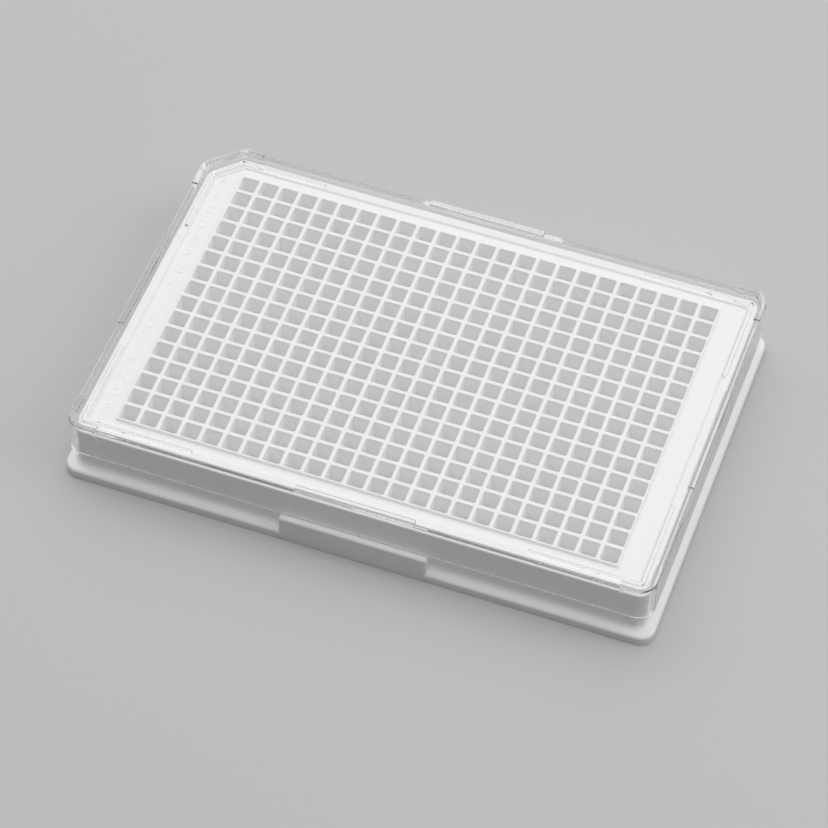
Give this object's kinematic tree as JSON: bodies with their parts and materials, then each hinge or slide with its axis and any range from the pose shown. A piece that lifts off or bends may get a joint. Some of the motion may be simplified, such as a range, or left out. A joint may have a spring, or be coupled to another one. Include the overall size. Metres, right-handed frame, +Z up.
{
  "type": "microplate",
  "caption": "White multiwell microplate with square tapered wells in a raised block, stepped base flange, cut index corner and a clear lid resting on its rim.",
  "frame": {"origin": "middle of the plate's footprint, on the surface that it stands on", "axes": "+X along the long side, from column 1 to column 24; +Y from the last row to row A; +Z up, out of the wells; well A1 and the cut corner are at -X, +Y"},
  "size_m": [0.1278, 0.0854, 0.0168],
  "materials": {
    "white_polystyrene": "white moulded polystyrene, satin",
    "clear_polystyrene": "clear moulded polystyrene, polished"
  },
  "bodies": {
    "root": {"plate": "white_polystyrene", "lid": "clear_polystyrene"}
  },
  "joints": []
}
